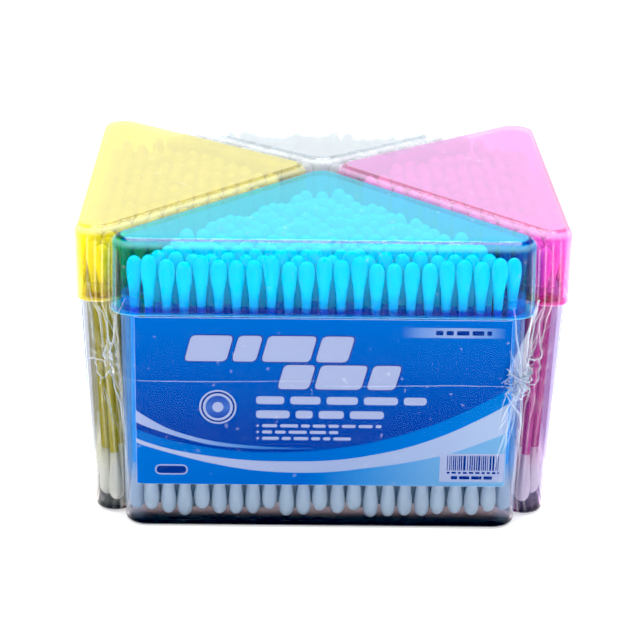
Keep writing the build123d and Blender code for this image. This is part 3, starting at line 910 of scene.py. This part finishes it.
class Pleats:
    """Narrow standing folds of gathered film: each is a little roof that follows the film's surface."""

    def __init__(self):
        self.verts, self.faces, self.painted_sheens = [], [], []

    def fold(self, q, path, wide, tall, painted_sheen):
        n = len(path)
        base = len(self.verts)
        for i, (c, z) in enumerate(path):
            a, b = path[max(0, i - 1)], path[min(n - 1, i + 1)]
            dc, dz = b[0] - a[0], b[1] - a[1]
            length = math.hypot(dc, dz) or 1.0
            s = i / (n - 1)
            w = wide * (math.sin(math.pi * min(1.0, s * 0.85 + 0.12)) ** 0.6) * 0.5 + 0.02
            h = tall * math.sin(math.pi * min(1.0, s * 0.85 + 0.12)) ** 0.6
            pc, pz = -dz / length * w, dc / length * w
            for k, lift in ((-1, 0.02), (0, h), (1, 0.02)):
                zz = min(max(z + pz * k, 1.0), WALL_TOP)
                self.verts.append(film_point(q, c + pc * k, zz, 0.02 + lift))
                # painted sheen, brightest along the crest of each fold
                self.painted_sheens.append(painted_sheen * (1.0 if k == 0 else 0.35))
        for i in range(n - 1):
            for k in range(2):
                a = base + i * 3 + k
                self.faces.append((a, a + 1, a + 4, a + 3))

    def fan(self, q, count, seed, span_c=13.0):
        rng = random.Random(seed)
        kc, kz, force = KNOTS[q]
        for i in range(count):
            up = 1 if i % 5 < 3 else -1
            ang = math.pi / 2 * up + rng.gauss(0, 0.34)
            if rng.random() < 0.18:
                ang = rng.uniform(-math.pi, math.pi)
            length = rng.uniform(6, 22) * (0.6 if abs(math.sin(ang)) < 0.6 else 1.0) * (1.0 if up > 0 else 1.25)
            bend = rng.uniform(-2.2, 2.2)
            start = rng.uniform(0.5, 3.0)
            path = []
            for k in range(15):
                s = k / 14
                r = start + length * s
                c = kc + math.cos(ang) * r + bend * s * s + 0.25 * math.sin(s * 9 + i)
                z = kz + math.sin(ang) * r
                if not (3.0 < z < 80.0) or abs(c) > span_c:
                    break
                path.append((c, z))
            if len(path) > 4:
                self.fold(q, path, rng.uniform(0.25, 0.75), rng.uniform(0.12, 0.40), rng.uniform(0.15, 0.5) * force)

    def crumple(self, q, count, seed, wide=4.2, tall=5.0):
        """The weld itself: short folds lying every way over each other."""
        rng = random.Random(seed)
        kc, kz, force = KNOTS[q]
        for i in range(count):
            r, a = rng.random() ** 0.7, rng.uniform(0, 2 * math.pi)
            c0, z0 = kc + wide * r * math.cos(a), kz + tall * r * math.sin(a)
            ang, length, bend = rng.uniform(0, 2 * math.pi), rng.uniform(1.2, 3.6), rng.uniform(-1.5, 1.5)
            path = []
            for k in range(8):
                s = k / 7
                path.append((c0 + math.cos(ang) * length * s + bend * s * s * 0.7, z0 + math.sin(ang) * length * s + bend * s * (1 - s)))
            self.fold(q, path, rng.uniform(0.25, 0.65), rng.uniform(0.25, 0.95), rng.uniform(0.08, 0.42) * force)

    def run(self, q, path, wide, tall, painted_sheen):
        """A fold through given points, smoothed."""
        pts = []
        for i in range(len(path) - 1):
            p0, p1, p2, p3 = path[max(0, i - 1)], path[i], path[i + 1], path[min(len(path) - 1, i + 2)]
            for k in range(6):
                s = k / 6
                pts.append(tuple(0.5 * (2 * p1[j] + (p2[j] - p0[j]) * s + (2 * p0[j] - 5 * p1[j] + 4 * p2[j] - p3[j]) * s * s + (3 * p1[j] - p0[j] - 3 * p2[j] + p3[j]) * s**3) for j in (0, 1)))
        pts.append(path[-1])
        self.fold(q, pts, wide, tall, painted_sheen)


FILM = clear_plastic("shrink_film_clear", (0.992, 0.994, 0.996), (0.88, 0.91, 0.94), base=0.006, reflect=0.9, climb=4.2, rough=0.07, inner=0.6, power=4.0, bumps=(160.0, 0.22, 0.0006), veil=0.003, painted_sheen_attribute="painted_sheen", specks=0.10)
# the pleats' deep tint where seen edge-on is painted shade for the dark lines among the crumpled folds
PLEAT = clear_plastic("shrink_film_pleats", (0.95, 0.965, 0.98), (0.36, 0.44, 0.56), base=0.05, reflect=0.9, climb=3.0, rough=0.07, inner=1.0, power=2.0, painted_sheen_attribute="painted_sheen", painted_sheen_colour=(0.66, 0.75, 0.86))
film_verts, film_faces, film_painted_sheens = film_mesh()
film = new_piece("shrink_film_skin", film_verts, film_faces, [FILM], "film")
add_float(film, "painted_sheen", film_painted_sheens)
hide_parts("shrink_film")

pleats = Pleats()
pleats.fan(0, 16, 3)
pleats.crumple(0, 90, 4, 4.6, 4.4)
pleats.fan(3, 8, 5)
pleats.fan(1, 14, 7)
pleats.crumple(1, 26, 8, 3.6, 3.4)
pleats.fan(2, 14, 9)
pleats.crumple(2, 26, 10, 3.6, 3.4)
# the long gathered strip that comes down from the lids to the weld, and its tails below
for k in range(8):
    o = (k - 3.5) * 0.5
    pleats.run(0, [(-3.2 + o * 0.3, 67.0), (-5.6 + o * 0.5, 62.5), (-7.6 + o * 0.9, 56.0), (-9.4 + o * 1.1, 50.5), (-10.4 + o * 0.9, 46.5)], 0.6, 0.22, 0.34 - 0.05 * abs(k - 3.5))
for path, wide, painted_sheen in (
    ([(-12.0, 41.5), (-9.4, 37.5), (-6.0, 33.5), (-2.0, 27.5)], 0.34, 0.5),
    ([(-10.6, 41.0), (-8.2, 36.0), (-5.4, 31.0), (-3.6, 27.0)], 0.26, 0.35),
    ([(-6.4, 40.0), (-5.6, 33.0), (-4.4, 25.0), (-3.2, 20.5)], 0.34, 0.5),
    ([(-7.4, 40.0), (-6.4, 33.0), (-4.6, 27.0), (-4.2, 22.5)], 0.26, 0.35),
    ([(-11.4, 43.0), (-12.4, 38.0), (-12.8, 33.5)], 0.3, 0.3),
    ([(-5.6, 47.4), (-3.2, 49.4), (-0.6, 48.6), (2.2, 49.2)], 0.5, 0.6),
    ([(2.4, 43.4), (1.6, 49.0), (0.4, 55.0), (-1.5, 63.0)], 0.3, 0.4),
    ([(2.4, 43.4), (0.6, 41.0), (-1.5, 41.0), (-3.0, 39.2), (-5.0, 38.5)], 0.4, 0.5),
    ([(-2.6, 46.0), (-1.2, 42.6), (-2.6, 40.6), (-4.6, 41.8)], 0.4, 0.55),
):
    pleats.run(0, path, wide, 0.4, painted_sheen)
# left gap: hooked folds and thin lines
for path, wide, painted_sheen in (
    ([(-1.0, 63.0), (0.2, 57.0), (1.6, 52.0), (2.0, 48.5), (1.0, 45.5), (-1.0, 42.5), (-3.2, 41.0), (-4.6, 42.5)], 0.34, 0.6),
    ([(0.5, 54.0), (-0.8, 50.0), (-0.2, 46.5), (1.0, 48.5)], 0.28, 0.55),
    ([(-5.2, 49.0), (-4.6, 44.5), (-3.4, 41.0), (-4.4, 38.5)], 0.28, 0.5),
    ([(0.0, 43.2), (2.6, 39.5), (4.6, 34.5), (4.9, 29.5)], 0.36, 0.6),
    ([(-2.8, 38.5), (-1.2, 34.0), (0.8, 30.0)], 0.22, 0.35),
    ([(-3.2, 37.0), (-0.8, 31.0), (1.4, 27.0)], 0.2, 0.3),
    ([(1.2, 62.0), (3.2, 56.0), (4.6, 50.0), (5.0, 45.0)], 0.24, 0.3),
    ([(-4.6, 63.0), (-4.4, 56.0), (-5.2, 50.0)], 0.24, 0.25),
):
    pleats.run(3, path, wide, 0.35, painted_sheen)
new_piece("shrink_film_pleats", pleats.verts, pleats.faces, [PLEAT], "film")
add_float(bpy.data.objects["shrink_film_pleats"], "painted_sheen", pleats.painted_sheens)

# the weld line: a hair-fine raised ridge round the four walls, painted pale as a highlight
seam = Pleats()
for q in range(4):
    far = 55.0
    for half in (0, 1):
        path = []
        for k in range(60):
            s = k / 59
            c = (6.5 + far * s) if half else (-6.5 - far * s)
            z = (44.4 if q != 0 or half else 43.4) + 0.25 * math.sin(s * 5 + q)
            path.append((c, z))
        seam.fold(q, path, 0.24, 0.05, 0.16)
new_piece("shrink_film_weld_line", seam.verts, seam.faces, [PLEAT], "film")
add_float(bpy.data.objects["shrink_film_weld_line"], "painted_sheen", seam.painted_sheens)

# ------------------------------------------------------------------ stage, light, camera
floor_mesh = bpy.data.meshes.new("floor")
floor_mesh.from_pydata([(-6, -6, -0.0001), (6, -6, -0.0001), (6, 6, -0.0001), (-6, 6, -0.0001)], [], [(0, 1, 2, 3)])
floor = bpy.data.objects.new("floor", floor_mesh)
bpy.context.scene.collection.objects.link(floor)
fm, ft, fo = fresh("floor_white")
fd = ft.nodes.new("ShaderNodeBsdfDiffuse")
fd.inputs[0].default_value = (0.93, 0.93, 0.93, 1)
fe = ft.nodes.new("ShaderNodeEmission")
fe.inputs[0].default_value = (1, 1, 1, 1)
fe.inputs[1].default_value = 0.50
fa = ft.nodes.new("ShaderNodeAddShader")
ft.links.new(fd.outputs[0], fa.inputs[0])
ft.links.new(fe.outputs[0], fa.inputs[1])
ft.links.new(fa.outputs[0], fo.inputs["Surface"])
floor_mesh.materials.append(fm)

world = bpy.data.worlds.new("studio")
world.use_nodes = True
world.node_tree.nodes["Background"].inputs[0].default_value = (1, 1, 1, 1)
world.node_tree.nodes["Background"].inputs[1].default_value = 0.68
bpy.context.scene.world = world


def softbox(name, place, aim, size, power):
    l = bpy.data.lights.new(name, "AREA")
    l.shape, l.size, l.size_y, l.energy = "RECTANGLE", size[0], size[1], power
    o = bpy.data.objects.new(name, l)
    bpy.context.scene.collection.objects.link(o)
    o.location = place
    o.rotation_euler = (Vector(aim) - Vector(place)).to_track_quat("-Z", "Y").to_euler()
    return o


softbox("key", (-0.55, -0.85, 0.95), (0, 0, 0.04), (0.5, 0.5), 1.6)
softbox("fill", (0.8, -0.7, 0.7), (0, 0, 0.04), (0.4, 0.8), 1.2)
softbox("top", (0.0, 0.25, 1.2), (0, 0, 0.05), (0.9, 0.9), 34.0)

cam_data = bpy.data.cameras.new("camera")
camera = bpy.data.objects.new("camera", cam_data)
bpy.context.scene.collection.objects.link(camera)
yaw, pitch, roll = 0.01863, 0.34794, 0.01663
cam_data.sensor_width = 36.0
cam_data.lens = 2246.25 * 36.0 / 640.0
fwd = Vector((math.sin(yaw) * math.cos(pitch), math.cos(yaw) * math.cos(pitch), -math.sin(pitch)))
right = Vector((math.cos(yaw), -math.sin(yaw), 0))
up = right.cross(fwd)
r2 = math.cos(roll) * right + math.sin(roll) * up
u2 = -math.sin(roll) * right + math.cos(roll) * up
camera.matrix_world = Matrix(((r2.x, u2.x, -fwd.x, -0.01148), (r2.y, u2.y, -fwd.y, -0.62751), (r2.z, u2.z, -fwd.z, 0.26585), (0, 0, 0, 1)))
cam_data.clip_start, cam_data.clip_end = 0.05, 30.0
scene = bpy.context.scene
scene.camera = camera
scene.view_settings.view_transform = "Standard"
levels = scene.view_settings.curve_mapping
scene.view_settings.use_curve_mapping = True
levels.black_level = (0.040, 0.028, 0.022)
levels.update()
scene.cycles.transparent_max_bounces = 40
scene.cycles.max_bounces = 10
